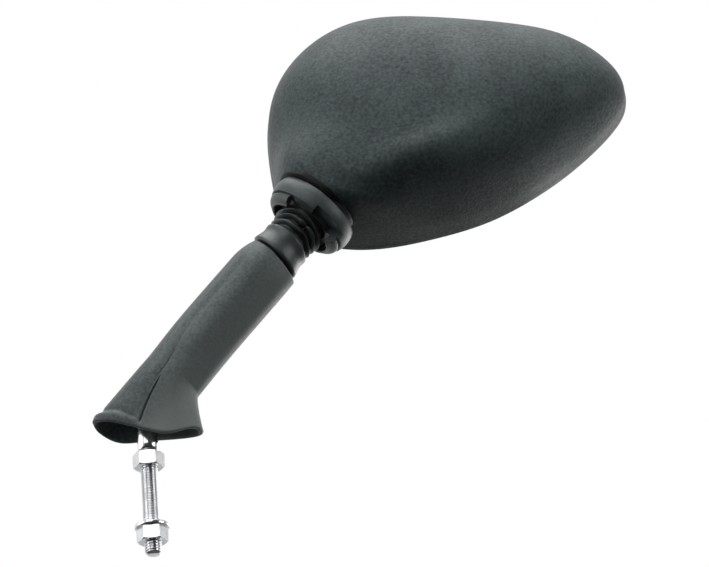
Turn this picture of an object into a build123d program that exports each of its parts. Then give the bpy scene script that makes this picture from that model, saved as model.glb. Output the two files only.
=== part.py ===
from build123d import *
import os
from math import acos, cos, degrees, exp, radians, sin, sqrt

# Ball-jointed mirror on an M8 stud, in millimetres. +Z runs up the stud, +X towards the head's narrow end
# and +Y towards the rider. The origin is on the stud's axis, at the underside of the lock nut.

# Stud, nuts and washer
thread_diameter = 8.0
stud_length = 43.0
tip_chamfer = 1.2
thread_play = 0.05
nut_across_flats = 13.0
nut_height = 6.8
nut_corner_drop = 0.9
nut_corner_inset = 0.45
grip_length = 28.4
washer_diameter = 16.0
washer_thickness = 1.6
washer_play = 0.2

# Stem rod: upright, one bend, then straight up the leaning arm to the ball
rod_diameter = 10.0
shoulder_gap = 0.5
shoulder_chamfer = 1.2
bend_height = 31.8
bend_radius = 25.0
arm_lean = 42.6
ball_reach = 123.0

# Ball, liners and the running play between them
ball_radius = 8.0
ball_seat_drop = 5.8
spigot_diameter = 6.0
spigot_length = 9.5
press_play = 0.02
ball_play = 0.15
liner_thickness = 1.5
lower_liner_low = 6.0
lower_liner_high = 3.2
upper_liner_low = 3.2

# Collar: band, groove and a rounded skirt that is cut away at the front, with a notch into the band
band_radius = 22.0
band_drop = 2.6
collar_rise = 6.5
band_crown = 0.9
groove_depth = 2.2
groove_width = 1.2
skirt_radius = 20.4
skirt_mouth_radius = 17.4
skirt_bulge = 0.5
skirt_drop = 7.0
skirt_wall = 1.5
skirt_rib_count = 20
skirt_rib_depth = 0.9
skirt_rib_width = 1.1
socket_wall = 2.2
socket_lip_angle = 52.0
web_drop = 3.0
cup_bore_radius = 11.8
cup_bore_floor = 2.2
cutaway_start = -25.0
cutaway_end = 72.0
cutaway_radius = 13.2
notch_start = 16.0
notch_floor = 0.0

# Clamp stack behind the ball
cup_play = 0.2
cup_height = 10.2
cup_pilot_radius = 5.0
cup_pilot_height = 3.4
spring_outer_radius = 10.0
spring_inner_radius = 5.2
spring_thickness = 1.2
spring_cone = 1.0
plate_thickness = 3.0
plate_lobe_radius = 3.6
screw_circle_radius = 14.8
screw_radius = 1.7
screw_play = 0.05
screw_head_radius = 3.0
screw_head_height = 2.2
screw_hole_radius = 2.0
screw_head_play = 0.3
collar_screw_count = 3
collar_screw_angle = 30.0
collar_screw_bite = 5.2
clamp_screw_count = 2
clamp_screw_angle = 0.0
clamp_screw_bite = 5.0
post_radius = 3.2

# Gaiter: cuff on the rod, then folds up to a rim inside the skirt's mouth
cuff_radius = 12.15
cuff_height = 9.2
gaiter_drop = 7.6
gaiter_rim_radius = 12.9
gaiter_wall = 1.8
fold_height = 13.9
fold_outer_radius = 12.4
fold_inner_radius = 10.8
fold_heights = [0, 1.8, 4.6, 7.2, 9.6, 11.8]

# Arm sleeve: a soft tube with a front and back ridge, and a flared mouth round the upright rod
sleeve_top_gap = 1.0
sleeve_top_tilt = 4.0
sleeve_top_radius = 13.85
sleeve_top_ridge = 6.0
sleeve_foot_half_width = 16.2
sleeve_foot_half_depth = 12.6
sleeve_foot_ridge = 22.0
sleeve_foot_drop = 40.0
sleeve_wall = 2.6
sleeve_hollow_height = 46.0
mouth_left = (-30.0, 26.2)
mouth_middle = (3.0, 15.4)
mouth_right = (30.0, 17.4)
mouth_rake = 0.24
flare_low = 6.0
flare_high = 48.0
flare_low_left = -16.0
flare_low_right = 28.2
flare_high_left = -4.0
flare_high_right = 20.4
flare_low_half_depth = 12.6
flare_high_half_depth = 8.0

# Head: rim outline (right and up from the ball, seen from the front), dome and neck
head_cant = 42.6
rim_points = [
    (122, 23), (145, 41), (161, 66.5), (145.5, 91.5), (107, 107.5), (68, 114.5), (23, 114),
    (-12, 84), (-17.5, 37), (-9, 9), (15, -3), (60, -1.5), (92, 7),
]
rim_back = 30.0
shell_depth = 58.0
crown_point = (58.0, 26.0)
crown_power = 2.3
side_power = 1.9
outline_steps = 36
dome_steps = 13
shell_wall = 2.5
neck_radius = 22.5
neck_half_width = 32.0
neck_fall = 0.35
neck_side_power = 4
neck_fade = 30
neck_reach = 60.0
neck_end_power = 2.5
neck_blend = 24.0
crest_points = [(14, 2.8), (40, 13.8), (64.7, 21.5), (103.6, 28), (122, 29.5)]
crest_height = 1.6
crest_width = 9.0
pocket_play = 1.2
pocket_tilt = 2.7
pocket_tilt_towards = 60.0
seat_gap = 1.2
seat_wall = 3.0
seat_ring_radius = 18.0

# Bezel, convex glass and pad
bezel_thickness = 3.5
bezel_edge = 1.2
bezel_lip = 6.2
bezel_skirt_depth = 2.5
bezel_skirt_wall = 1.2
bezel_play = 0.5
glass_inset = 4.2
glass_play = 0.15
glass_thickness = 2.0
glass_curve_radius = 1200.0
glass_middle = (68.0, 55.0)
pad_inset = 9.0
pad_thickness = 2.0
pad_post_radius = 4.0
pad_posts = [(22, 84), (72, 92), (122, 72), (112, 34)]

front = (0, -1, 0)
arm_axis = Vector(sin(radians(arm_lean)), 0, cos(radians(arm_lean)))
bend_point = Vector(0, 0, bend_height)
ball_centre = bend_point + arm_axis * ball_reach
ball_frame = Plane(ball_centre, x_dir=front, z_dir=arm_axis)
head_turn = radians(arm_lean - head_cant)
head_frame = Plane(ball_centre, x_dir=(cos(head_turn), 0, -sin(head_turn)), z_dir=front)
neck_frame = Plane((0, 0, 0), x_dir=(0, 0, 1), z_dir=(sin(radians(head_cant)), cos(radians(head_cant)), 0))

socket_radius = ball_radius + liner_thickness + 2 * ball_play
seat_height = collar_rise
pocket_floor = seat_height + seat_gap
seat_inside = pocket_floor + seat_wall
collar_screw_length = seat_inside - collar_rise + collar_screw_bite
cup_low = cup_bore_floor + cup_play
cup_top = cup_low + cup_height
spring_pair_height = 2 * (spring_thickness + spring_cone)
plate_low = cup_top + spring_pair_height
plate_high = plate_low + plate_thickness


def rod_stock(radius, low, high):
    """Round bar between two heights on its own axis."""
    return Pos(0, 0, low) * Cylinder(radius, high - low, align=(Align.CENTER, Align.CENTER, Align.MIN))


def turned(*edges):
    """Solid turned about Z from the edges of a half section in the XZ plane."""
    return revolve(Plane.XZ * make_face(list(edges)), Axis.Z)


def collar_screw_places():
    """Places of the collar's screws on the screw circle."""
    return list(PolarLocations(screw_circle_radius, collar_screw_count, start_angle=collar_screw_angle))


def clamp_screw_places():
    """Places of the clamp plate's screws on the same circle, front and back."""
    return list(PolarLocations(screw_circle_radius, clamp_screw_count, start_angle=clamp_screw_angle))


def hex_nut():
    """Hexagon nut standing on Z=0, its corners cut to cones, bored for the stud."""
    corner = nut_across_flats / sqrt(3)
    blank = extrude(RegularPolygon(nut_across_flats / 2, 6, major_radius=False), nut_height)
    barrel = chamfer(rod_stock(corner, 0, nut_height).edges(), nut_corner_inset, nut_corner_drop)
    bore = rod_stock(thread_diameter / 2 + thread_play, 0, nut_height)
    return (blank & barrel) - bore


def make_washer():
    """Plain washer standing on Z=0."""
    return rod_stock(washer_diameter / 2, 0, washer_thickness) - rod_stock(
        thread_diameter / 2 + washer_play, 0, washer_thickness
    )


def make_stem_rod():
    """Stud, shoulder, bent rod and the spigot for the ball, one turned and bent bar."""
    stud = rod_stock(thread_diameter / 2, -stud_length, nut_height + shoulder_gap + shoulder_chamfer)
    stud = chamfer(stud.edges().group_by(Axis.Z)[0], tip_chamfer)
    shoulder = nut_height + shoulder_gap
    rod_end = ball_centre - arm_axis * ball_seat_drop
    path = FilletPolyline((0, 0, shoulder), bend_point, rod_end, radius=bend_radius)
    rod = sweep(Pos(0, 0, shoulder) * Circle(rod_diameter / 2), path)
    rod = chamfer(rod.edges().group_by(Axis.Z)[0], shoulder_chamfer)
    spigot = ball_frame * rod_stock(spigot_diameter / 2, -ball_seat_drop, spigot_length - ball_seat_drop)
    return stud + rod + spigot


def make_pivot_ball():
    """Ball with a flat on the rod's end and a blind bore for its spigot."""
    ball = Sphere(ball_radius) & rod_stock(ball_radius, -ball_seat_drop, ball_radius)
    bore_end = spigot_length - ball_seat_drop + press_play
    bore = rod_stock(spigot_diameter / 2 + press_play, -ball_seat_drop, bore_end)
    return ball_frame * (ball - bore)


def liner_shell():
    """Hollow sphere of liner stock round the ball."""
    return Sphere(ball_radius + ball_play + liner_thickness) - Sphere(ball_radius + ball_play)


def make_lower_liner():
    """Ring of liner under the ball's middle."""
    return ball_frame * (liner_shell() & rod_stock(socket_radius, -lower_liner_low, -lower_liner_high))


def make_upper_liner():
    """Cap of liner over the ball."""
    return ball_frame * (liner_shell() & rod_stock(socket_radius, upper_liner_low, socket_radius))


def below_ball(radius, angle):
    """Point of a half section at a distance from the ball's centre and an angle from down the arm."""
    return (radius * sin(radians(angle)), -radius * cos(radians(angle)))


def side_cut(start, floor):
    """Cutter for the collar's open front, below a floor, from a start angle to the cutaway's end."""
    width = band_radius + skirt_wall - cutaway_radius
    height = skirt_drop + skirt_wall + floor
    section = Plane.XZ * Pos(cutaway_radius + width / 2, floor - height / 2) * Rectangle(width, height)
    return Rot(0, 0, start) * revolve(section, Axis.Z, revolution_arc=cutaway_end - start)


def make_socket_collar():
    """Crowned band and ribbed skirt round the lower half of the ball's socket, notched at the mouth."""
    socket_outside = socket_radius + socket_wall
    web_angle = degrees(acos(web_drop / socket_outside))
    web_edge = below_ball(socket_outside, web_angle)
    lip_outside = below_ball(socket_outside, socket_lip_angle)
    lip_inside = below_ball(socket_radius, socket_lip_angle)
    skirt_inside = skirt_mouth_radius - skirt_wall
    skirt_tip = (skirt_mouth_radius - skirt_wall / 2, -skirt_drop - skirt_wall / 2)
    skirt_top = (skirt_radius, -band_drop - groove_width)
    skirt_edge = (skirt_mouth_radius, -skirt_drop)
    skirt_middle = (Vector(*skirt_edge) + Vector(*skirt_top)) / 2
    skirt_side = skirt_middle + Vector(skirt_bulge, -skirt_bulge)
    band_foot = (band_radius - band_crown, -band_drop)
    band_top = (band_radius - band_crown, collar_rise)
    body = turned(
        Polyline(web_edge, (skirt_inside + skirt_rib_depth, -web_drop), (skirt_inside, -skirt_drop)),
        ThreePointArc((skirt_inside, -skirt_drop), skirt_tip, skirt_edge),
        ThreePointArc(skirt_edge, skirt_side, skirt_top),
        Polyline(
            skirt_top, (band_radius - groove_depth, -band_drop - groove_width),
            (band_radius - groove_depth, -band_drop), band_foot,
        ),
        ThreePointArc(band_foot, (band_radius, (collar_rise - band_drop) / 2), band_top),
        Polyline(
            band_top, (cup_bore_radius, collar_rise), (cup_bore_radius, cup_bore_floor),
            (socket_radius, cup_bore_floor), (socket_radius, 0),
        ),
        ThreePointArc((socket_radius, 0), below_ball(socket_radius, (90 + socket_lip_angle) / 2), lip_inside),
        Line(lip_inside, lip_outside),
        ThreePointArc(lip_outside, below_ball(socket_outside, (web_angle + socket_lip_angle) / 2), web_edge),
    )
    rib_length = skirt_rib_depth + skirt_wall / 4
    rib = Box(rib_length, skirt_rib_width, skirt_drop - web_drop, align=(Align.MIN, Align.CENTER, Align.MAX))
    ribs = [place * Pos(0, 0, -web_drop) * rib for place in PolarLocations(skirt_inside, skirt_rib_count)]
    cutaway = side_cut(cutaway_start, -band_drop)
    notch = side_cut(notch_start, notch_floor)
    holes = [place * rod_stock(screw_radius + screw_play, collar_rise - collar_screw_bite, collar_rise)
             for place in collar_screw_places()]
    return ball_frame * (body + ribs - cutaway - notch - holes)


def make_pressure_cup():
    """Cup on the upper liner, guided in the collar's bore, with a pilot for the springs."""
    cup = rod_stock(cup_bore_radius - cup_play, cup_low, cup_top) - Sphere(socket_radius)
    return ball_frame * (cup + rod_stock(cup_pilot_radius, cup_top, cup_top + cup_pilot_height))


def spring_disc():
    """One conical spring washer, wide end down."""
    return turned(Polyline(
        (spring_outer_radius, 0), (spring_outer_radius, spring_thickness),
        (spring_inner_radius, spring_cone + spring_thickness), (spring_inner_radius, spring_cone),
        close=True,
    ))


def make_disc_springs():
    """Two conical springs, narrow ends together."""
    low = Pos(0, 0, cup_top) * spring_disc()
    high = Pos(0, 0, plate_low) * Rot(180, 0, 0) * spring_disc()
    return Compound([ball_frame * low, ball_frame * high])


def make_clamp_plate():
    """Plate with a lobe over each post, holding the springs down."""
    places = clamp_screw_places()
    lobes = Sketch() + [place * Circle(plate_lobe_radius) for place in places]
    edges = lobes.edges() + Circle(spring_outer_radius).edges()
    plate = Pos(0, 0, plate_low) * extrude(make_hull(edges), plate_thickness)
    pilot = rod_stock(cup_pilot_radius + cup_play, plate_low, plate_high)
    holes = [place * rod_stock(screw_hole_radius, plate_low, plate_high) for place in places]
    return ball_frame * (plate - pilot - holes)


def pan_screw(length):
    """Pan-headed screw, its head resting on Z=0 and its shank pointing down."""
    shank = rod_stock(screw_radius, -length, 0)
    head = rod_stock(screw_head_radius, 0, screw_head_height)
    return shank + fillet(head.edges().group_by(Axis.Z)[-1], screw_head_height / 2)


def screw_ring(length, height, places):
    """Like screws at several places with their heads at one height."""
    return Compound([ball_frame * place * Pos(0, 0, height) * pan_screw(length) for place in places])


def make_gaiter():
    """Boot turned about the arm: a cuff that grips the rod, then folds up to an open rim."""
    cuff_top = -gaiter_drop - fold_height
    cuff_low = cuff_top - cuff_height
    fold_radii = [cuff_radius, fold_inner_radius, fold_outer_radius, fold_inner_radius, fold_outer_radius,
                  fold_inner_radius]
    outer = [(radius, cuff_top + height) for radius, height in zip(fold_radii, fold_heights)]
    outer.append((gaiter_rim_radius, -gaiter_drop))
    inner = [(radius - gaiter_wall, height) for radius, height in outer]
    grip = rod_diameter / 2 + press_play
    return ball_frame * turned(
        Polyline((grip, cuff_top), (grip, cuff_low), (cuff_radius, cuff_low), outer[0]),
        Spline(*outer),
        Line(outer[-1], inner[-1]),
        Spline(*reversed(inner)),
        Line(inner[0], (grip, cuff_top)),
    )


def ridged_oval(half_width, half_depth, ridge):
    """Oval across X (front to back) and Y (side to side) with a ridge at front and back."""
    slope = radians(ridge)
    leave = (-sin(slope), cos(slope))
    arrive = (-sin(slope), -cos(slope))
    right = Spline((half_depth, 0), (0, half_width), (-half_depth, 0), tangents=[leave, arrive])
    return make_face([right, mirror(right, about=Plane.XZ)])


def arm_tube(inset, low, high):
    """Tapering tube of the sleeve along the arm, moved in by an inset, between two heights from the ball."""
    foot = ridged_oval(sleeve_foot_half_width - inset, sleeve_foot_half_depth - inset, sleeve_foot_ridge)
    top = ridged_oval(sleeve_top_radius - inset, sleeve_top_radius - inset, sleeve_top_ridge)
    return loft([Pos(0, 0, low) * foot, Pos(0, 0, high) * top])


def flare(inset, low, high):
    """Upright oval skirt of the sleeve's mouth, moved in by an inset."""
    foot = Ellipse((flare_low_right - flare_low_left) / 2 - inset, flare_low_half_depth - inset)
    top = Ellipse((flare_high_right - flare_high_left) / 2 - inset, flare_high_half_depth - inset)
    foot_place = Pos((flare_low_left + flare_low_right) / 2, 0, low)
    top_place = Pos((flare_high_left + flare_high_right) / 2, 0, high)
    return loft([foot_place * foot, top_place * top])


def make_arm_sleeve():
    """Soft sleeve over the bent rod: tube and mouth, hollow at the foot, cut to a curved and raked mouth."""
    top = -gaiter_drop - fold_height - cuff_height - sleeve_top_gap
    foot = -ball_reach - sleeve_foot_drop
    hollow = -ball_reach + sleeve_hollow_height
    rod_path = FilletPolyline((0, 0, 0), bend_point, ball_centre, radius=bend_radius)
    rod_hole = sweep(Circle(rod_diameter / 2 + press_play), rod_path)
    outside = ball_frame * arm_tube(0, foot, top) + flare(0, flare_low, flare_high)
    inside = ball_frame * arm_tube(sleeve_wall, foot, hollow)
    inside = inside + flare(sleeve_wall, flare_low, flare_high - sleeve_wall)
    deep = sleeve_foot_drop + ball_reach
    under_mouth = make_face([
        ThreePointArc(mouth_left, mouth_middle, mouth_right),
        Polyline(
            mouth_right, (deep, mouth_right[1]), (deep, -deep),
            (-deep, -deep), (-deep, mouth_left[1]), mouth_left,
        ),
    ])
    below = extrude(Plane.XZ * under_mouth, amount=deep, dir=(0, 1, mouth_rake), both=True)
    above = ball_frame * Pos(0, 0, top) * Rot(sleeve_top_tilt, 0, 0) * Box(
        deep, deep, deep, align=(Align.CENTER, Align.CENTER, Align.MIN)
    )
    return outside - inside - rod_hole - below - above


rim_curve = Spline(*rim_points, periodic=True)
crest_curve = Spline(*crest_points)


def closed_curve(points):
    """Smooth closed curve through even points, its seam's direction taken from the points on either side."""
    seam = (points[1] - points[-1]) / 2
    steps = list(range(len(points) + 1))
    return Edge.make_spline([*points, points[0]], tangents=[seam, seam], parameters=steps, scale=False)


def outline(inset, height):
    """Rim outline moved in by an even inset, as a closed curve at a height."""
    points = []
    for step in range(outline_steps):
        share = step / outline_steps
        inward = Vector(0, 0, 1).cross(rim_curve % share)
        points.append(rim_curve @ share + inward * inset + Vector(0, 0, height))
    return points


def outline_plate(inset, low, high):
    """Flat plate of the rim outline between two heights."""
    return extrude(make_face(closed_curve(outline(inset, low))), high - low, dir=(0, 0, 1))


def crest_rise(across, up):
    """Height of the soft crest that runs along the dome from the neck towards the narrow end."""
    away = crest_curve.distance_to(Vector(across, up, 0))
    return crest_height * exp(-((away / crest_width) ** 2))


def skin_height(across, up, share, inset):
    """Height of the casing's skin over its rim: a dome with a crest on it, blended into the neck's ridge."""
    rim_fade = 1 - share**neck_fade
    dome = (shell_depth - inset) * (1 - share**crown_power) ** (1 / side_power)
    dome = dome + crest_rise(across, up) * rim_fade
    lean = radians(head_cant)
    aside = across * cos(lean) - up * sin(lean)
    along = max(across * sin(lean) + up * cos(lean), 0)
    ridge = exp(-neck_fall * (aside / (neck_half_width - inset)) ** neck_side_power)
    neck = (rim_back + neck_radius - inset) * ridge * rim_fade
    neck = neck / (1 + (along / neck_reach) ** neck_end_power)
    near = max(neck_blend - abs(dome - neck), 0)
    return max(dome, neck) + near**2 / (4 * neck_blend) * rim_fade


def flattened(ring):
    """Points of a ring, each moved up or down onto the plane through three of them."""
    third = len(ring) // 3
    start = ring[0]
    normal = (ring[third] - start).cross(ring[2 * third] - start)
    moved = []
    for point in ring:
        rise = -normal.dot(point - start) / normal.Z
        moved.append(point + Vector(0, 0, rise))
    return moved


def dome_body(inset):
    """Solid under the casing's skin, moved in by an inset, lofted from rim to a small flat at the crown."""
    crown = Vector(*crown_point)
    rings = []
    for step in range(dome_steps):
        share = cos(radians(90 * step / dome_steps)) ** 2
        ring = []
        for point in outline(inset, 0):
            place = crown + (point - crown) * share
            rise = skin_height(place.X, place.Y, share, inset)
            ring.append(Vector(place.X, place.Y, rise - rim_back))
        rings.append(ring)
    rings[-1] = flattened(rings[-1])
    return Solid.make_loft([Wire([closed_curve(ring)]) for ring in rings])


bezel_front = -rim_back - bezel_thickness
glass_centre = Pos(glass_middle[0], glass_middle[1], bezel_front + glass_curve_radius)
pad_back_radius = glass_curve_radius - glass_thickness - pad_thickness


def make_back_shell():
    """Casing: domed skin, pocket and seat for the collar, posts for the clamp plate and for the pad."""
    far = rim_back + shell_depth
    outside = dome_body(0)
    inside = dome_body(shell_wall)
    pocket_radius = band_radius + pocket_play
    tipped = Rot(0, 0, pocket_tilt_towards) * Rot(0, -pocket_tilt, 0)
    pocket = neck_frame * tipped * rod_stock(pocket_radius, -far, pocket_floor)
    pocket_back = neck_frame * rod_stock(pocket_radius + shell_wall, -far, seat_inside)
    shell = (outside - pocket) - (inside - pocket_back)
    clamp_places = clamp_screw_places()
    collar_places = collar_screw_places()
    ring = rod_stock(seat_ring_radius, seat_height, seat_inside)
    post_foot = pocket_floor + seat_wall / 2
    posts = [place * rod_stock(post_radius, post_foot, plate_low) for place in clamp_places]
    bore = rod_stock(cup_bore_radius, seat_height, cup_top + cup_play)
    clamp_holes = [place * rod_stock(screw_radius + screw_play, plate_low - clamp_screw_bite, plate_low)
                   for place in clamp_places]
    collar_holes = [place * rod_stock(screw_hole_radius, seat_height, seat_inside) for place in collar_places]
    seat = ring + posts - bore - clamp_holes - collar_holes
    spot = rod_stock(screw_head_radius + screw_head_play, seat_inside, seat_inside + screw_head_height)
    head_spots = [place * spot for place in collar_places]
    cuts = [neck_frame * cut for cut in [bore, *collar_holes, *head_spots]]
    shell = shell - cuts + neck_frame * seat
    pad_back = glass_centre * Sphere(pad_back_radius)
    for place in pad_posts:
        post = Pos(*place) * rod_stock(pad_post_radius, -rim_back, far)
        shell = shell + (post & outside & pad_back)
    return head_frame * shell


def make_front_bezel():
    """Frame on the casing's rim: a lip over the glass and a skirt inside the casing's wall."""
    frame = outline_plate(0, bezel_front, -rim_back)
    frame = fillet(frame.edges().group_by(Axis.Z)[0], bezel_edge)
    skirt_outside = shell_wall + bezel_play
    skirt = outline_plate(skirt_outside, -rim_back, -rim_back + bezel_skirt_depth)
    skirt = skirt - outline_plate(skirt_outside + bezel_skirt_wall, -rim_back, -rim_back + bezel_skirt_depth)
    window = outline_plate(bezel_lip, bezel_front, -rim_back)
    glass_bed = outline_plate(glass_inset - glass_play, bezel_front, -rim_back)
    glass_bed = glass_bed & (glass_centre * Sphere(glass_curve_radius + glass_play))
    pocket_radius = band_radius + pocket_play + shell_wall + bezel_play
    pocket = neck_frame * rod_stock(pocket_radius, -shell_depth, seat_inside + bezel_play)
    return head_frame * (frame - window - glass_bed + (skirt - pocket))


def curved_plate(inset, outer_radius, thickness):
    """Plate of the rim outline between two spheres about the glass's centre of curvature."""
    blank = outline_plate(inset, bezel_front, 0)
    return blank & (glass_centre * (Sphere(outer_radius) - Sphere(outer_radius - thickness)))


nodes = {
    "stem_rod": make_stem_rod(),
    "lock_nut": hex_nut(),
    "plain_washer": Pos(0, 0, -grip_length - washer_thickness) * make_washer(),
    "mounting_nut": Pos(0, 0, -grip_length - washer_thickness - nut_height) * hex_nut(),
    "pivot_ball": make_pivot_ball(),
    "lower_liner": make_lower_liner(),
    "upper_liner": make_upper_liner(),
    "socket_collar": make_socket_collar(),
    "collar_screws": screw_ring(collar_screw_length, seat_inside, collar_screw_places()),
    "pressure_cup": make_pressure_cup(),
    "disc_springs": make_disc_springs(),
    "clamp_plate": make_clamp_plate(),
    "clamp_screws": screw_ring(plate_thickness + clamp_screw_bite, plate_high, clamp_screw_places()),
    "gaiter": make_gaiter(),
    "arm_sleeve": make_arm_sleeve(),
    "back_shell": make_back_shell(),
    "front_bezel": make_front_bezel(),
    "mirror_glass": head_frame * curved_plate(glass_inset, glass_curve_radius, glass_thickness),
    "glass_pad": head_frame * curved_plate(pad_inset, glass_curve_radius - glass_thickness, pad_thickness),
}
os.makedirs("parts", exist_ok=True)
for name, solid in nodes.items():
    export_step(solid, f"parts/{name}.step")
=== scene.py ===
from math import cos, pi, radians, sin, tan

import bpy
import numpy as np
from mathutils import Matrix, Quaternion, Vector


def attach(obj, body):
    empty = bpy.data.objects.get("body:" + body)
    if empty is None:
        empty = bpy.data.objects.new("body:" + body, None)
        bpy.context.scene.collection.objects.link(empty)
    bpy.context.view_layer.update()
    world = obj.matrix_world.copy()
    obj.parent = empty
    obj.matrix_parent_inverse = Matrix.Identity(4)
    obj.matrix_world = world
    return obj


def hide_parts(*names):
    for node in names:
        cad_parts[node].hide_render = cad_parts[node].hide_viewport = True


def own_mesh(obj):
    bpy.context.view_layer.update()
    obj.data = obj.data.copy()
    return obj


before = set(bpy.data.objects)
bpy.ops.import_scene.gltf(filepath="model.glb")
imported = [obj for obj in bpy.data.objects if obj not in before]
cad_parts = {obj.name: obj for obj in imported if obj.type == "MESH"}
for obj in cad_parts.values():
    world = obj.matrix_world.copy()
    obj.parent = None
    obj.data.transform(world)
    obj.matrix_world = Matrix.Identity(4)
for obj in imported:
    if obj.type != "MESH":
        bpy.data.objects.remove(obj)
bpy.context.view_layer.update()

# Stem: one zinc-plated steel bar, turned down to an M8 stud at its foot, bent once and run straight up
# the arm to the spigot that carries the ball. The stud's thread is rolled, so its roots are rounded.
arm_lean = radians(42.6)
arm_axis = np.array([sin(arm_lean), 0, cos(arm_lean)])
arm_side = np.array([cos(arm_lean), 0, -sin(arm_lean)])
arm_front = np.array([0, -1, 0])
bend_point = np.array([0, 0, 0.0318])
bend_radius = 0.025
bend_reach = bend_radius * tan(arm_lean / 2)
ball_reach = 0.123
bar_around = 48
bar_radius = 0.005
bar_foot = 0.0073
bar_chamfer = 0.0012
bar_start = 0.012
bar_rows = 60
stud_radius = 0.004
stud_tip = -0.043
tip_radius = 0.0004
thread_top = 0.0055
thread_pitch = 0.00125
thread_depth = 0.0006
thread_rows = 10
thread_crest = 0.16
thread_flank = 0.72
root_rounding = 0.35
neck_radius = 0.0034
neck_start = 0.0058
spigot_radius = 0.003
spigot_length = 0.0095
spigot_set_back = 0.0058


def ring_mesh(name, rings, cap_first=True, cap_last=True, sharp=50):
    """A smooth piece from rings of points, each joined to the next, with sharp edges kept."""
    rings = np.asarray(rings, float)
    count, around = rings.shape[:2]
    here = np.arange(around)
    then = (here + 1) % around
    faces = []
    for row in range(count - 1):
        low, high = row * around, (row + 1) * around
        faces += np.stack([low + here, low + then, high + then, high + here], 1).tolist()
    if cap_first:
        faces.append(here[::-1].tolist())
    if cap_last:
        faces.append((here + (count - 1) * around).tolist())
    mesh = bpy.data.meshes.new(name)
    mesh.from_pydata(rings.reshape(-1, 3).tolist(), [], faces)
    mesh.polygons.foreach_set("use_smooth", [True] * len(faces))
    mesh.set_sharp_from_angle(angle=radians(sharp))
    piece = bpy.data.objects.new(name, mesh)
    bpy.context.scene.collection.objects.link(piece)
    return piece


def bar_ring(reach, radii):
    """Ring of points round the bar at a distance along it from the origin."""
    straight = bend_point[2] - bend_reach
    arc = bend_radius * arm_lean
    if reach < straight:
        centre, turn = np.array([0, 0, reach]), 0
    elif reach < straight + arc:
        turn = (reach - straight) / bend_radius
        centre = np.array([bend_radius * (1 - cos(turn)), 0, straight + bend_radius * sin(turn)])
    else:
        turn = arm_lean
        centre = bend_point + arm_axis * (bend_reach + reach - straight - arc)
    across = np.array([cos(turn), 0, -sin(turn)])
    angle = np.arange(bar_around) * 2 * pi / bar_around
    radii = np.broadcast_to(radii, bar_around)[:, None]
    return centre + radii * (np.cos(angle)[:, None] * across - np.sin(angle)[:, None] * arm_front)


def thread_radii(height):
    """Radii round the stud at a height, for a right-hand thread with flat crests and rounded roots."""
    angle = np.arange(bar_around) / bar_around
    place = np.abs((height / thread_pitch - angle) % 1 - 0.5) * 2
    cut = np.clip((place - thread_crest) / thread_flank, 0, 1)
    cut = cut * cut * (3 - 2 * cut) * root_rounding + cut * (1 - root_rounding)
    return np.minimum(stud_radius - thread_depth * cut, stud_radius - bar_chamfer + height - stud_tip)


bar_end = bend_point[2] - 2 * bend_reach + bend_radius * arm_lean + ball_reach - spigot_set_back
stem_rings = [bar_ring(stud_tip, tip_radius)]
for height in np.arange(stud_tip, thread_top, thread_pitch / thread_rows):
    stem_rings.append(bar_ring(height, thread_radii(height)))
stem_rings += [bar_ring(neck_start, neck_radius), bar_ring(bar_foot, neck_radius)]
stem_rings += [bar_ring(bar_foot, bar_radius - bar_chamfer), bar_ring(bar_foot + bar_chamfer, bar_radius)]
stem_rings += [bar_ring(reach, bar_radius) for reach in np.linspace(bar_start, bar_end, bar_rows)]
stem_rings += [bar_ring(bar_end, spigot_radius), bar_ring(bar_end + spigot_length, spigot_radius)]
stem = ring_mesh("bent_stem", stem_rings)
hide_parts("stem_rod")
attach(stem, "stem")


def node_group(name, inputs, outputs):
    """An empty shader group with named value inputs and outputs."""
    group = bpy.data.node_groups.new(name, "ShaderNodeTree")
    for label, value in inputs:
        socket = group.interface.new_socket(label, in_out="INPUT", socket_type="NodeSocketFloat")
        socket.default_value = value
    for label in outputs:
        group.interface.new_socket(label, in_out="OUTPUT", socket_type="NodeSocketFloat")
    return group, group.nodes.new("NodeGroupInput"), group.nodes.new("NodeGroupOutput")


def math_node(tree, operation, first, second=None):
    """A Math node fed by sockets or numbers."""
    node = tree.nodes.new("ShaderNodeMath")
    node.operation = operation
    for slot, value in enumerate([first, second]):
        if value is None:
            continue
        if isinstance(value, bpy.types.NodeSocket):
            tree.links.new(value, node.inputs[slot])
        else:
            node.inputs[slot].default_value = value
    return node.outputs[0]


def blotch_group():
    """Broad uneven patches, as handling leaves on plated steel, plastic and rubber."""
    group, given, out = node_group("handling_patches", [("Size", 40)], ["Patch", "Fine"])
    place = group.nodes.new("ShaderNodeTexCoord")
    broad = group.nodes.new("ShaderNodeTexNoise")
    broad.inputs["Detail"].default_value = 3
    fine = group.nodes.new("ShaderNodeTexNoise")
    fine.inputs["Detail"].default_value = 5
    for node in (broad, fine):
        group.links.new(place.outputs["Object"], node.inputs["Vector"])
    group.links.new(given.outputs["Size"], broad.inputs["Scale"])
    group.links.new(math_node(group, "MULTIPLY", given.outputs["Size"], 14), fine.inputs["Scale"])
    group.links.new(broad.outputs["Fac"], out.inputs["Patch"])
    group.links.new(fine.outputs["Fac"], out.inputs["Fine"])
    return group


handling_patches = blotch_group()


def finish_material(name, metallic, specular):
    """A material with its Principled shader, plain sockets set."""
    made = bpy.data.materials.new(name)
    made.use_nodes = True
    shader = made.node_tree.nodes["Principled BSDF"]
    shader.inputs["Metallic"].default_value = metallic
    shader.inputs["Specular IOR Level"].default_value = specular
    return made, made.node_tree, shader


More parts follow.
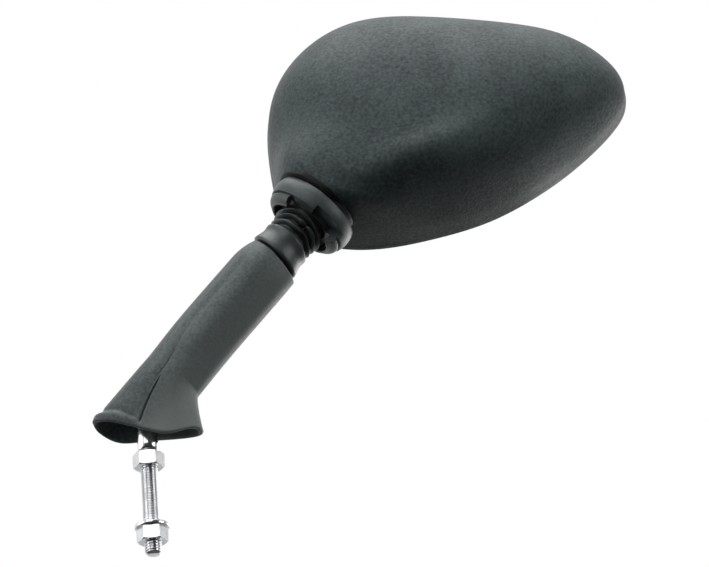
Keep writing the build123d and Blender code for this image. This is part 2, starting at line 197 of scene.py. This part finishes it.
def ramp_node(tree, factor, stops):
    """A colour ramp of two stops, fed by a value."""
    ramp = tree.nodes.new("ShaderNodeValToRGB")
    for element, (place, colour) in zip(ramp.color_ramp.elements, stops):
        element.position = place
        element.color = (*colour, 1)
    tree.links.new(factor, ramp.inputs["Fac"])
    return ramp.outputs["Color"]


def range_node(tree, factor, low, high, start=0.0, stop=1.0):
    """A value moved from one range to another."""
    node = tree.nodes.new("ShaderNodeMapRange")
    node.inputs["From Min"].default_value = start
    node.inputs["From Max"].default_value = stop
    node.inputs["To Min"].default_value = low
    node.inputs["To Max"].default_value = high
    tree.links.new(factor, node.inputs["Value"])
    return node.outputs["Result"]


def use_group(tree, group, **values):
    """A shader group placed in a material with its own values."""
    node = tree.nodes.new("ShaderNodeGroup")
    node.node_tree = group
    for label, value in values.items():
        node.inputs[label].default_value = value
    return node


def bump_node(tree, shader, height, strength, distance):
    """Surface relief from a height value."""
    bump = tree.nodes.new("ShaderNodeBump")
    bump.name = "fine_relief"
    bump.inputs["Strength"].default_value = strength
    bump.inputs["Distance"].default_value = distance
    tree.links.new(height, bump.inputs["Height"])
    tree.links.new(bump.outputs["Normal"], shader.inputs["Normal"])


def zinc_finish(name, light, dark, smooth, rough):
    """Bright plating with faint patches in its tone and polish."""
    made, tree, shader = finish_material(name, 1.0, 0.5)
    patches = use_group(tree, handling_patches, Size=160)
    tone = ramp_node(tree, patches.outputs["Patch"], [(0.3, dark), (0.7, light)])
    polish = range_node(tree, patches.outputs["Fine"], smooth, rough, 0.3, 0.7)
    tree.links.new(tone, shader.inputs["Base Color"])
    tree.links.new(polish, shader.inputs["Roughness"])
    bump_node(tree, shader, patches.outputs["Fine"], 0.08, 0.0002)
    return made


bright_zinc = zinc_finish("bright_zinc", (0.86, 0.86, 0.87), (0.72, 0.73, 0.75), 0.10, 0.22)
stem.data.materials.append(bright_zinc)

# Lock nut, plain washer and mounting nut: standard M8 steel pieces with the same bright plating.
# The nuts are cold-formed, so their corners are chamfered and every edge has a small rounding.
nut_rounding = 0.00018
washer_rounding = 0.00015


def weld_seams(piece):
    """Joins the doubled points along the seams between a node's faces."""
    weld = piece.modifiers.new("weld", "WELD")
    weld.merge_threshold = 0.00001


def dress(node, material, rounding=0.0, steps=2):
    """A node's own mesh in a finish, its sharp edges rounded where a width is given."""
    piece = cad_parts[node]
    piece.data.materials.clear()
    piece.data.materials.append(material)
    if rounding:
        weld_seams(piece)
        bevel = piece.modifiers.new("rounding", "BEVEL")
        bevel.width = rounding
        bevel.segments = steps
        bevel.limit_method = "ANGLE"
        bevel.angle_limit = radians(28)
        bevel.harden_normals = True
    return piece


nut_zinc = zinc_finish("nut_zinc", (0.84, 0.84, 0.85), (0.66, 0.67, 0.69), 0.14, 0.30)
dress("lock_nut", nut_zinc, nut_rounding)
dress("mounting_nut", nut_zinc, nut_rounding)
dress("plain_washer", nut_zinc, washer_rounding)

# Arm sleeve: a soft moulded rubber cover pulled over the bent bar. It is a slightly flattened tube with
# one long soft crease up its front, a slit at the crease's foot, and a wavy flared mouth with a rolled lip.
# Angles go round the arm from its inner side, over the front. Reaches go up the arm from the bend.
sleeve_top = 0.0958
sleeve_slant = 0.0038
sleeve_wall = 0.0024
sleeve_join = 0.019
sleeve_half_width = 0.0150
sleeve_half_depth = 0.0128
sleeve_widening = 0.0004
sleeve_deepening = 0.0014
taper_run = 0.0128
taper_width = 0.0013
taper_depth = 0.0010
arm_bow = 0.0013
back_ridge = 0.0006
arm_rows = 84
flare_rows = 60
inner_rows = 24
mouth_half_length = 0.0257
mouth_half_depth = 0.0124
mouth_middle = 0.0006
mouth_fullness = 2.35
# The mouth's edge goes through points of angle and height, and the crease through reach and angle.
mouth_edge = np.array([(0, 0.0246), (45, 0.0224), (75, 0.0184), (105, 0.0133), (145, 0.0162),
                       (180, 0.0164), (265, 0.0190), (300, 0.0186), (335, 0.0224), (360, 0.0246)])
crease_path = np.array([(-0.014, 84), (0.016, 83.5), (0.019, 81), (0.025, 77), (0.030, 72), (0.036, 69),
                        (0.048, 67.6), (0.070, 67.6), (0.076, 66), (0.088, 62), (0.094, 60)])
crease_line = 0.0004
# Each fold has its height, its angle from the crease and its spread.
crease_folds = [(0.0009, 32, 20), (-0.0006, -3, 9), (-0.0004, -28, 14), (-0.0005, 72, 16)]
slit_depth = 0.0014
slit_top = 0.0135
slit_spread = 0.95
lip_width = 0.006
lip_narrowing = 0.0028
lip_swell = 0.0010
lip_groove = 0.0007
lip_thickness = 0.0010
# Each step of the recess at the top has its rise from the sleeve's edge and its inset.
recess_steps = [(0.0003, 0.0007), (0.0001, 0.0018), (-0.0058, 0.0026), (-0.0060, 0.0086)]
sleeve_angles = np.concatenate([np.linspace(0, 57, 27, endpoint=False),
                                np.linspace(57, 100, 62, endpoint=False),
                                np.linspace(100, 360, 119, endpoint=False)])
sleeve_turns = np.radians(sleeve_angles)


def bell(value, middle, spread):
    """A smooth hump of height one."""
    return np.exp(-((value - middle) / spread) ** 2)


def run_weights(share):
    """Weights of a smooth run between two points: first point, leaving slope and arriving slope."""
    return 2 * share**3 - 3 * share**2 + 1, share**3 - 2 * share**2 + share, share**3 - share**2


def round_curve(points, angles):
    """A smooth closed curve through points of angle and height, the last one a full turn on."""
    place, height = points.T
    around = np.concatenate([place[-2:-1] - 360, place, place[1:2] + 360])
    level = np.concatenate([height[-2:-1], height, height[1:2]])
    slope = (level[2:] - level[:-2]) / (around[2:] - around[:-2])
    step = np.clip(np.searchsorted(place, angles, side="right") - 1, 0, len(place) - 2)
    width = place[step + 1] - place[step]
    kept, leaving, arriving = run_weights((angles - place[step]) / width)
    bent = width * (leaving * slope[step] + arriving * slope[step + 1])
    return kept * height[step] + (1 - kept) * height[step + 1] + bent


def crease_angle(reach):
    """Angle of the crease at a reach up the arm."""
    return np.interp(reach, crease_path[:, 0], crease_path[:, 1])


def arm_ring(reach, inset):
    """Ring round the arm at a reach from the bend: flattened, with the crease's soft fold."""
    narrow = np.clip((reach - sleeve_top) / taper_run + 1, 0, 1) ** 2 * (1.15 + np.cos(sleeve_turns - 0.5))
    wider = sleeve_widening * np.clip(reach / 0.04, 0, 1)
    deeper = sleeve_deepening * np.clip((reach + 0.03) / 0.12, 0, 1)
    half_width = sleeve_half_width + wider - taper_width * narrow
    half_depth = sleeve_half_depth + deeper - taper_depth * narrow
    away = sleeve_angles - crease_angle(reach)
    fold = sum(height * bell(away, angle, spread) for height, angle, spread in crease_folds)
    fold = fold - crease_line * bell(away, -1, 1.6) * np.clip((0.045 - reach) / 0.03, 0, 1)
    fold = fold * np.clip((sleeve_top - reach) / 0.02 + 0.15, 0, 1)
    fold = fold + back_ridge * bell(sleeve_angles, 270, 14)
    slant = sleeve_slant * np.clip(reach / sleeve_top, 0, 1) ** 5 * (1 - np.cos(sleeve_turns)) / 2
    across = arm_bow * bell(reach, 0.012, 0.022) - (half_width + fold - inset) * np.cos(sleeve_turns)
    ahead = (half_depth + fold - inset) * np.sin(sleeve_turns)
    along = np.outer(reach - slant, arm_axis)
    return bend_point + along + np.outer(across, arm_side) + np.outer(ahead, arm_front)


def mouth_ring(inset):
    """Closed wavy edge of the mouth, moved in by an inset."""
    fuller = 2 / mouth_fullness
    flank, face = np.cos(sleeve_turns), np.sin(sleeve_turns)
    x = mouth_middle - (mouth_half_length - inset) * np.sign(flank) * np.abs(flank) ** fuller
    y = -(mouth_half_depth - inset) * np.sign(face) * np.abs(face) ** fuller
    return np.stack([x, y, round_curve(mouth_edge, sleeve_angles)], 1)


def sleeve_skin(inset, shares, reaches):
    """Rings of the sleeve's skin from the mouth, up the flare and along the arm."""
    foot, head = mouth_ring(inset), arm_ring(sleeve_join, inset)
    outer = ((1 - np.cos(sleeve_turns)) / 2)[:, None]
    rise = (1 - outer) * arm_axis + outer * np.array([-0.2, 0, 0.98])
    rise = rise / np.linalg.norm(rise, axis=1)[:, None]
    chord = np.linalg.norm(head - foot, axis=1)[:, None]
    start, stop = rise * chord, arm_axis * chord * (1.0 - 0.72 * outer)
    rings = []
    for share in shares:
        kept, leaving, arriving = run_weights(share)
        rings.append(kept * foot + leaving * start + (1 - kept) * head + arriving * stop)
    return rings + [arm_ring(reach, inset) for reach in reaches]


def sleeve_relief(rings):
    """The rolled lip along the mouth's inner side and the slit at the crease's foot, worked into the skin."""
    shaped = np.array(rings)
    rolled = bell((sleeve_angles + 180) % 360 - 180, 12, 66) * np.clip((86 - sleeve_angles) / 8, 0, 1)
    roll = lip_width - lip_narrowing * np.clip((sleeve_angles - 55) / 30, 0, 1)
    for row, ring in enumerate(rings):
        gap = np.linalg.norm(ring - rings[0], axis=1)
        around = np.roll(ring, -1, 0) - np.roll(ring, 1, 0)
        along = rings[min(row + 1, len(rings) - 1)] - rings[max(row - 1, 0)]
        inward = np.cross(along, around)
        inward /= np.linalg.norm(inward, axis=1)[:, None] + 1e-12
        reach = (ring - bend_point) @ arm_axis
        ends = np.clip((slit_top - reach) / 0.006, 0, 1) * np.clip(gap / 0.002 - 0.5, 0, 1)
        slit = slit_depth * bell(sleeve_angles, crease_angle(reach), slit_spread) * ends
        swell = lip_swell * bell(gap, roll * 0.42, roll * 0.36) - lip_groove * bell(gap, roll, roll * 0.22)
        shaped[row] = ring - inward * (rolled * swell - slit)[:, None]
    return shaped


flare_shares = np.linspace(0, 1, flare_rows) ** 1.1
arm_reaches = np.linspace(sleeve_join, sleeve_top, arm_rows)[1:]
outside = sleeve_relief(sleeve_skin(0, flare_shares, arm_reaches))
inside = np.array(sleeve_skin(sleeve_wall, flare_shares[::2], arm_reaches[:inner_rows]))
lip_middle, lip_half = (outside[0] + inside[0]) / 2, (outside[0] - inside[0]) / 2
lip_drop = np.array([0, 0, -lip_thickness])
lip_turns = np.radians([150, 120, 90, 60, 30])
lip = [lip_middle + lip_half * cos(turn) + lip_drop * sin(turn) for turn in lip_turns]
recess = [arm_ring(sleeve_top + rise, inset) for rise, inset in recess_steps]
plug_middle = bend_point + arm_axis * arm_reaches[inner_rows - 1]
plug = plug_middle + (inside[-1] - plug_middle) * 0.4
sleeve = ring_mesh("arm_cover", [plug, *inside[::-1], *lip, *outside, *recess], sharp=80)
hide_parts("arm_sleeve")
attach(sleeve, "stem")


def grain_group():
    """Fine eroded grain of a moulded surface: shallow pits between soft pebbles."""
    group, given, out = node_group("moulded_grain", [("Scale", 1500)], ["Height", "Tone"])
    place = group.nodes.new("ShaderNodeTexCoord")
    pits = group.nodes.new("ShaderNodeTexVoronoi")
    pits.feature = "SMOOTH_F1"
    fine = group.nodes.new("ShaderNodeTexNoise")
    fine.inputs["Detail"].default_value = 3
    for node in (pits, fine):
        group.links.new(place.outputs["Object"], node.inputs["Vector"])
    group.links.new(given.outputs["Scale"], pits.inputs["Scale"])
    group.links.new(math_node(group, "MULTIPLY", given.outputs["Scale"], 0.55), fine.inputs["Scale"])
    pebbles = math_node(group, "SUBTRACT", 1.0, pits.outputs["Distance"])
    height = math_node(group, "ADD", math_node(group, "MULTIPLY", pebbles, 0.55), fine.outputs["Fac"])
    group.links.new(height, out.inputs["Height"])
    group.links.new(fine.outputs["Fac"], out.inputs["Tone"])
    return group


moulded_grain = grain_group()


def black_finish(name, dark, light, rough, grain, depth, specular, sheen=0.0, shaded=None):
    """Black moulding with grain, faint patches, a little change of gloss and a worn skin's sheen."""
    made, tree, shader = finish_material(name, 0.0, specular)
    shader.inputs["Sheen Weight"].default_value = sheen
    shader.inputs["Sheen Roughness"].default_value = 0.4
    patches = use_group(tree, handling_patches, Size=35)
    pebbles = use_group(tree, moulded_grain, Scale=grain)
    tone = math_node(tree, "ADD", math_node(tree, "MULTIPLY", patches.outputs["Patch"], 0.35),
                     math_node(tree, "MULTIPLY", pebbles.outputs["Tone"], 0.65))
    colour = ramp_node(tree, tone, [(0.36, dark), (0.64, light)])
    if shaded:
        colour = shaded(tree, colour)
    gloss = range_node(tree, tone, rough + 0.06, rough - 0.06, 0.35, 0.65)
    tree.links.new(colour, shader.inputs["Base Color"])
    tree.links.new(gloss, shader.inputs["Roughness"])
    bump_node(tree, shader, pebbles.outputs["Height"], depth, 0.0004)
    return made


def vector_node(tree, operation, vector, other=None):
    """A Vector Math node fed by a socket and, where it takes one, a fixed vector."""
    node = tree.nodes.new("ShaderNodeVectorMath")
    node.operation = operation
    tree.links.new(vector, node.inputs[0])
    if other is not None:
        node.inputs[1].default_value = other
    return node


def mix_colour(tree, share, colour, other):
    """A colour turned towards a fixed one by a share."""
    mix = tree.nodes.new("ShaderNodeMix")
    mix.data_type = "RGBA"
    tree.links.new(share, mix.inputs["Factor"])
    tree.links.new(colour, mix.inputs["A"])
    mix.inputs["B"].default_value = (*other, 1)
    return mix.outputs["Result"]


# Painted light on the sleeve: its colour turns paler across the arm's outer flank, in place of light from the
# side behind; the rubber itself is no paler there.
flank_light_colour = (0.175, 0.196, 0.192)
flank_light_share = 0.9
flank_light_start = 0.001
flank_light_full = 0.0155


def painted_flank_light(tree, colour):
    """Painted light: the colour turned paler across the arm's outer flank, standing in for light from the
    side behind.
    """
    place = tree.nodes.new("ShaderNodeTexCoord")
    across = vector_node(tree, "DOT_PRODUCT", place.outputs["Object"], arm_side)
    middle = float(bend_point @ arm_side)
    flank_lit = range_node(tree, across.outputs["Value"], 0.0, flank_light_share, middle + flank_light_start, middle + flank_light_full)
    return mix_colour(tree, flank_lit, colour, flank_light_colour)


# The sleeve's finish carries painted light on its outer flank.
sleeve.data.materials.append(black_finish(
    "sleeve_rubber_black", dark=(0.036, 0.051, 0.051), light=(0.086, 0.108, 0.106), rough=0.56,
    grain=1250, depth=0.24, specular=0.4, sheen=0.35, shaded=painted_flank_light,
))

# Gaiter: a thin rubber boot on the bar between the sleeve and the head. A plain cuff grips the bar, and
# above it the wall is crushed into uneven folds, pinched on one side, that end in an open rim.
# Heights go up the arm from the ball.
ball_centre = bend_point + arm_axis * ball_reach
boot_around = 180
boot_wall = 0.0016
cuff_low = -0.0273
cuff_top = -0.0176
cuff_rounding = 0.0006
cuff_lean = 0.0012
cuff_rows = 14
boot_rim = -0.0084
rim_rounding = 0.0004
rim_lift = 0.0026
rim_curl = 0.0011
fold_rows = 90
fold_wave = 0.0003
# The folds go through points of height and radius.
fold_line = [(cuff_low, 0.0133), (-0.0205, 0.0121), (cuff_top, 0.0124), (-0.0158, 0.0098), (-0.0139, 0.0122),
             (-0.0124, 0.0098), (-0.0109, 0.0126), (-0.0096, 0.0102), (boot_rim, 0.0133)]
even_radius = 0.0119
back_evening = 0.35
# Each dent has its depth, its place and breadth round the boot, and its level and spread up it.
boot_dents = [(-0.0021, 43, 20, -0.0140, 0.0015), (0.0007, 14, 8, -0.0109, 0.0011),
              (0.0008, 50, 10, -0.0110, 0.0012)]
pinch_depth = 0.0015
# Each step under the cuff has its rise from the cuff's foot and its inset.
plug_steps = [(-0.0065, 0.0081), (-0.0065, 0.0037), (-0.0001, 0.0037), (0, cuff_rounding)]
seat_rise = 0.0004
seat_inset = 0.0070
# Near-black colour of the painted shade in the hollows round the arm.
hollow_shade_colour = (0.004, 0.006, 0.006)


def fold_radius(height):
    """Radius of the wall at heights from the ball, swinging smoothly from fold to fold."""
    radius = np.full_like(height, fold_line[0][1])
    for (low, start), (high, stop) in zip(fold_line[:-1], fold_line[1:]):
        share = (1 - np.cos(np.clip((height - low) / (high - low), 0, 1) * pi)) / 2
        radius = np.where(height > low, start + (stop - start) * share, radius)
    return radius


def boot_ring(height, inset):
    """Ring of the boot's wall at a height from the ball: the folds wave, rise to the front and pinch."""
    turn = np.arange(boot_around) * 2 * pi / boot_around
    face = (np.degrees(turn) - 90 + 180) % 360 - 180
    free = np.clip((height - cuff_top) / 0.002, 0, 1)
    rising = np.clip((height - cuff_low) / (boot_rim - cuff_low), 0, 1) ** 1.4
    lift = rim_lift * np.cos(np.radians(face - 8)) + rim_curl * np.cos(np.radians(2 * face - 16))
    lean = -cuff_lean * np.sin(np.radians(face + 5))
    wave = fold_wave * np.sin(2 * turn + 0.6) + fold_wave * np.sin(5 * turn - 1.1)
    crest = free * np.clip((boot_rim - height) / 0.0012, 0, 1)
    radius = fold_radius(height + crest * wave)
    evened = back_evening * (bell(face, 180, 90) + bell(face, -180, 90))
    radius = radius + free * evened * (even_radius - radius)
    dents = sum(depth * bell(face, place, breadth) * bell(height, level, spread)
                for depth, place, breadth, level, spread in boot_dents)
    pinch = pinch_depth * bell(face - (height + 0.0105) * 3500, 27, 6) * bell(height, -0.0106, 0.0022)
    radius = radius + free * (dents - crest * pinch) - inset
    along = np.outer(height + lift * rising + lean * (1 - rising), arm_axis)
    across = np.outer(radius * np.cos(turn), arm_side)
    return ball_centre + along - across + np.outer(radius * np.sin(turn), arm_front)


cuff_heights = np.linspace(cuff_low + cuff_rounding, cuff_top, cuff_rows)
fold_heights = np.linspace(cuff_top, boot_rim, fold_rows)[1:]
boot_foot = [boot_ring(cuff_low + rise, inset) for rise, inset in plug_steps]
boot_outside = [boot_ring(height, 0) for height in [*cuff_heights, *fold_heights]]
boot_inside = [boot_ring(height, boot_wall) for height in fold_heights[::-1]]
boot_edge = (boot_outside[-1] + boot_inside[0]) / 2 + arm_axis * rim_rounding
boot_seat = boot_ring(cuff_top + seat_rise, seat_inset)
boot_rings = [*boot_foot, *boot_outside, boot_edge, *boot_inside, boot_seat]
boot = ring_mesh("folded_boot", boot_rings, cap_last=False, sharp=70)
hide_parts("gaiter")
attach(boot, "stem")
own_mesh(boot)


def hollow_group():
    """Mask of what lies within a radius of the arm's line and below a height over the ball."""
    group, given, out = node_group("arm_hollow", [("Radius", 0.018), ("Height", 0.0)], ["Hollow"])
    place = group.nodes.new("ShaderNodeTexCoord")
    from_ball = vector_node(group, "SUBTRACT", place.outputs["Object"], ball_centre).outputs["Vector"]
    swept = vector_node(group, "CROSS_PRODUCT", from_ball, arm_axis).outputs["Vector"]
    away = vector_node(group, "LENGTH", swept).outputs["Value"]
    along = vector_node(group, "DOT_PRODUCT", from_ball, arm_axis).outputs["Value"]
    near = math_node(group, "SUBTRACT", given.outputs["Radius"], away)
    below = math_node(group, "SUBTRACT", given.outputs["Height"], along)
    hollow = math_node(group, "MULTIPLY", range_node(group, near, 0.0, 1.0, 0.0, 0.0008),
                       range_node(group, below, 0.0, 1.0, -0.0004, 0.0004))
    group.links.new(hollow, out.inputs["Hollow"])
    return group


arm_hollow = hollow_group()


def shaded_hollow(radius, height):
    """A finish's colour turned nearly black in the hollows round the arm: painted shade where little light
    reaches.
    """
    def darken(tree, colour):
        hollow = use_group(tree, arm_hollow, Radius=radius, Height=height)
        return mix_colour(tree, hollow.outputs["Hollow"], colour, hollow_shade_colour)
    return darken


# Painted shade: the boot's fold valleys and its inside are turned nearly black.
boot.data.materials.append(black_finish(
    "boot_rubber_black", dark=(0.030, 0.040, 0.040), light=(0.048, 0.062, 0.061), rough=0.40,
    grain=2600, depth=0.06, specular=0.55, sheen=0.08, shaded=shaded_hollow(0.0116, 0.02),
))

# Pivot ball and its two liner rings: a plated steel ball on the bar's spigot, held between natural acetal
# liners inside the collar. Only a sliver shows from below.


def smooth_finish(name, metallic, patch, dark, light, smooth, rough):
    """A smooth surface with faint patches in its tone and gloss."""
    made, tree, shader = finish_material(name, metallic, 0.5)
    patches = use_group(tree, handling_patches, Size=patch)
    tone = ramp_node(tree, patches.outputs["Patch"], [(0.3, dark), (0.7, light)])
    gloss = range_node(tree, patches.outputs["Fine"], smooth, rough)
    tree.links.new(tone, shader.inputs["Base Color"])
    tree.links.new(gloss, shader.inputs["Roughness"])
    return made


acetal = smooth_finish("acetal_liner", 0.0, 220, (0.70, 0.68, 0.62), (0.80, 0.79, 0.74), 0.30, 0.42)
dress("pivot_ball", bright_zinc)
for node in ("lower_liner", "upper_liner"):
    dress(node, acetal)

# Socket collar: a nylon moulding that holds the ball. A plain band sits in the casing's pocket, and below
# a groove its skirt hangs over the boot, cut away at the front. Three screws hold it from inside.
collar_rounding = 0.0003
# Painted shade: the collar's inner faces within the skirt, below the ball, are turned nearly black.
collar_black = black_finish(
    "collar_nylon_black", dark=(0.038, 0.051, 0.050), light=(0.056, 0.073, 0.072), rough=0.44,
    grain=3200, depth=0.05, specular=0.5, sheen=0.05, shaded=shaded_hollow(0.0162, -0.0028),
)
dress("socket_collar", collar_black, collar_rounding, 3)

# Clamp stack behind the ball: pressure cup, two disc springs and a clamp plate, held by pan-headed screws.
# They are closed in between the casing and the glass, in plain steel and black nylon.
spring_steel = zinc_finish("spring_steel", (0.48, 0.49, 0.50), (0.34, 0.35, 0.36), 0.28, 0.42)
dress("pressure_cup", collar_black)
for node in ("disc_springs", "clamp_plate"):
    dress(node, spring_steel)
for node in ("collar_screws", "clamp_screws"):
    dress(node, bright_zinc)

# Casing: one deep black plastic moulding with a fine grain all over, domed towards the front, with a neck
# that runs into the collar's pocket. Its rim carries the bezel, which has the same finish. The crest is a
# low form of the moulding itself, and the relief makes it a little stronger.
crest_start = 0.0973
crest_height = 0.1223
crest_rise = 0.36
crest_curl = 2.1
crest_width = 0.0095
crest_depth = 0.0045
crest_fade_in = (0.100, 0.130)
crest_fade_out = (0.160, 0.240)
# Painted shade: the casing's pocket and the gap round the collar's band are turned nearly black.
shell_black = black_finish(
    "casing_plastic_black", dark=(0.014, 0.023, 0.024), light=(0.052, 0.074, 0.074), rough=0.60,
    grain=1150, depth=0.32, specular=0.3, sheen=0.16, shaded=shaded_hollow(0.0238, 0.0100),
)


def crest_relief(tree):
    """The soft crest that runs from the neck towards the narrow end, as relief under the grain."""
    place = tree.nodes.new("ShaderNodeTexCoord")
    parts = tree.nodes.new("ShaderNodeSeparateXYZ")
    tree.links.new(place.outputs["Object"], parts.inputs["Vector"])
    run = math_node(tree, "SUBTRACT", parts.outputs["X"], crest_start)
    rise = math_node(tree, "SUBTRACT", crest_rise, math_node(tree, "MULTIPLY", run, crest_curl))
    line = math_node(tree, "ADD", math_node(tree, "MULTIPLY", run, rise), crest_height)
    over = math_node(tree, "SUBTRACT", parts.outputs["Z"], line)
    away = math_node(tree, "ABSOLUTE", math_node(tree, "DIVIDE", over, crest_width))
    steep = math_node(tree, "POWER", away, 2.0)
    ridge = math_node(tree, "EXPONENT", math_node(tree, "MULTIPLY", steep, -1.0))
    begin = range_node(tree, parts.outputs["X"], 0.0, 1.0, *crest_fade_in)
    end = range_node(tree, parts.outputs["X"], 1.0, 0.0, *crest_fade_out)
    height = math_node(tree, "MULTIPLY", ridge, math_node(tree, "MULTIPLY", begin, end))
    crest = tree.nodes.new("ShaderNodeBump")
    crest.inputs["Distance"].default_value = crest_depth
    tree.links.new(height, crest.inputs["Height"])
    tree.links.new(crest.outputs["Normal"], tree.nodes["fine_relief"].inputs["Normal"])


crest_relief(shell_black.node_tree)
for node in ("back_shell", "front_bezel"):
    dress(node, shell_black)

# Mirror glass and its pad: convex glass, silvered on its back, lying on a soft foam sheet inside the
# bezel's lip. The glass is ground smooth, so its normals are evened out over the whole face.
silvered_glass = smooth_finish("silvered_glass", 1.0, 18, (0.84, 0.86, 0.86), (0.88, 0.90, 0.90), 0.01, 0.035)
glass = dress("mirror_glass", silvered_glass)
weld_seams(glass)
glass.modifiers.new("edges", "EDGE_SPLIT").split_angle = radians(30)
even_normals = glass.modifiers.new("even_normals", "WEIGHTED_NORMAL")
even_normals.mode = "FACE_AREA"
even_normals.weight = 100
dress("glass_pad", black_finish(
    "pad_foam_black", dark=(0.02, 0.02, 0.02), light=(0.04, 0.04, 0.04), rough=0.8,
    grain=1800, depth=0.3, specular=0.3,
))

# Studio: a plain pale floor well below the mirror, soft lamps overhead, in front, behind and at both sides,
# and a white sweep behind, above and to the left that metal and glass mirror. The rest they mirror is dark.
floor_height = -1.25
floor_dark = 0.14
floor_pale = 0.86
floor_glow = 0.45
head_middle = (0.12, 0, 0.12)
arm_middle = (0.08, 0, 0.06)


def background_share(tree, region):
    """Share of the white background: whole for the camera, and by region for what metal and glass mirror."""
    path = tree.nodes.new("ShaderNodeLightPath")
    mirrored = math_node(tree, "MAXIMUM", path.outputs["Is Glossy Ray"], path.outputs["Is Transmission Ray"])
    within = math_node(tree, "MULTIPLY", mirrored, region)
    return math_node(tree, "MAXIMUM", path.outputs["Is Camera Ray"], within)


bpy.ops.mesh.primitive_plane_add(size=14, location=(0, 0, floor_height))
floor = bpy.context.object
floor.name = "studio_floor"
floor_made, floor_tree, floor_shader = finish_material("pale_floor", 0.0, 0.2)
floor_shader.inputs["Roughness"].default_value = 0.8
floor_shader.inputs["Emission Color"].default_value = (1, 1, 1, 1)
floor_place = floor_tree.nodes.new("ShaderNodeNewGeometry")
floor_parts = floor_tree.nodes.new("ShaderNodeSeparateXYZ")
floor_tree.links.new(floor_place.outputs["Position"], floor_parts.inputs["Vector"])
floor_behind = range_node(floor_tree, floor_parts.outputs["Y"], 0.0, 1.0, 0.6, 1.6)
floor_shown = background_share(floor_tree, floor_behind)
floor_tone = range_node(floor_tree, floor_shown, floor_dark, floor_pale)
floor_light = range_node(floor_tree, floor_shown, 0.0, floor_glow)
floor_tree.links.new(floor_tone, floor_shader.inputs["Base Color"])
floor_tree.links.new(floor_light, floor_shader.inputs["Emission Strength"])
floor.data.materials.append(floor_made)


def lamp(name, place, aim, size, power):
    """A square soft lamp turned to a point."""
    data = bpy.data.lights.new(name, "AREA")
    data.size = size
    data.energy = power
    made = bpy.data.objects.new(name, data)
    made.location = place
    made.rotation_mode = "QUATERNION"
    made.rotation_quaternion = (Vector(aim) - Vector(place)).to_track_quat("-Z", "Y")
    bpy.context.scene.collection.objects.link(made)


lamp("overhead_lamp", (0.1, -0.2, 1.3), head_middle, 1.3, 16)
lamp("front_lamp", (-0.3, -1.1, 0.6), head_middle, 0.9, 5)
lamp("left_lamp", (-1.25, -0.35, 0.25), (0.1, 0, 0.08), 1.0, 5.2)
lamp("right_lamp", (1.3, -0.5, 0.25), head_middle, 0.8, 5.5)
lamp("rear_lamp", (0.95, 1.2, 0.1), arm_middle, 0.9, 7.5)
surround = bpy.data.worlds.new("white_sweep")
bpy.context.scene.world = surround
surround.use_nodes = True
sky = surround.node_tree
plain = sky.nodes["Background"]
plain.inputs["Color"].default_value = (1, 1, 1, 1)
plain.inputs["Strength"].default_value = 0.04
seen = sky.nodes.new("ShaderNodeBackground")
seen.inputs["Color"].default_value = (1, 1, 1, 1)
seen.inputs["Strength"].default_value = 1.0
way = sky.nodes.new("ShaderNodeTexCoord")
split = sky.nodes.new("ShaderNodeSeparateXYZ")
sky.links.new(way.outputs["Generated"], split.inputs["Vector"])
behind = range_node(sky, split.outputs["Y"], 0.0, 1.0, -0.1, 0.6)
above = range_node(sky, split.outputs["Z"], 0.0, 1.0, 0.55, 0.85)
leftward = range_node(sky, split.outputs["X"], 1.0, 0.0, -0.85, -0.45)
sweep = math_node(sky, "MAXIMUM", math_node(sky, "MAXIMUM", behind, above), leftward)
mixed = sky.nodes.new("ShaderNodeMixShader")
sky.links.new(background_share(sky, sweep), mixed.inputs["Fac"])
sky.links.new(plain.outputs["Background"], mixed.inputs[1])
sky.links.new(seen.outputs["Background"], mixed.inputs[2])
sky.links.new(mixed.outputs["Shader"], sky.nodes["World Output"].inputs["Surface"])
bpy.context.scene.view_settings.view_transform = "Standard"

# Camera: below the mirror and in front of it, on a long lens, tipped a little to one side, so that the
# arm leans to the right in the picture and the casing's underside shows.
eye = Vector((0.095, -1.450092, -0.581189))
aim = Vector((0.102142, 0.003559, 0.087183))
camera_roll = radians(-4.72)
camera_data = bpy.data.cameras.new("camera")
camera_data.sensor_width = 36
camera_data.lens = 170.6
camera_data.clip_end = 50
camera = bpy.data.objects.new("camera", camera_data)
camera.location = eye
camera.rotation_mode = "QUATERNION"
camera.rotation_quaternion = (aim - eye).to_track_quat("-Z", "Y") @ Quaternion((0, 0, 1), camera_roll)
bpy.context.scene.collection.objects.link(camera)
bpy.context.scene.camera = camera
